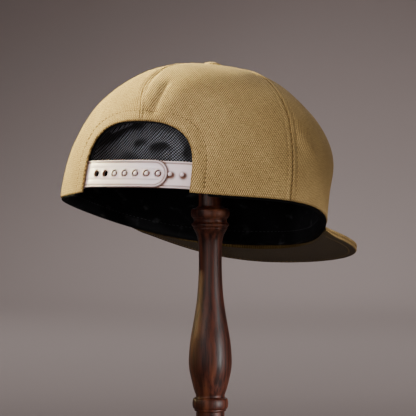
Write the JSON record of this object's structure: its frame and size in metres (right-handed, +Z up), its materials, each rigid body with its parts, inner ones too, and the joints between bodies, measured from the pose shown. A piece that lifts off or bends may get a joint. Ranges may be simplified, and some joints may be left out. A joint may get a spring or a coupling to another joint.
{
  "type": "snapback cap on a hat stand",
  "caption": "Flat-brimmed cotton twill snapback cap with a black lining and a plastic snap strap, on a turned wooden hat stand.",
  "frame": {"origin": "middle of the flat underside of the stand's round base", "axes": "+Z up along the post; the cap's brim faces -Y and the wearer's right is -X"},
  "size_m": [0.1692, 0.2445, 0.3416],
  "materials": {
    "crown_twill": "khaki cotton twill, matt",
    "lining_mesh": "black open-weave lining",
    "band_cloth": "black cotton band and binding tape",
    "strap_plastic": "pale pinkish cream moulded plastic, satin",
    "stand_wood": "dark turned hardwood, polished"
  },
  "bodies": {
    "root": {"crown_front": "crown_twill", "crown_side_right": "crown_twill", "crown_side_left": "crown_twill", "crown_back_right": "crown_twill", "crown_back_left": "crown_twill", "brim": "crown_twill", "button": "crown_twill", "crown_lining": "lining_mesh", "arch_binding": "band_cloth", "sweatband": "band_cloth", "strap_holes": "strap_plastic", "strap_pegs": "strap_plastic", "stand_base": "stand_wood", "stand_post": "stand_wood", "stand_head": "stand_wood"}
  },
  "joints": []
}
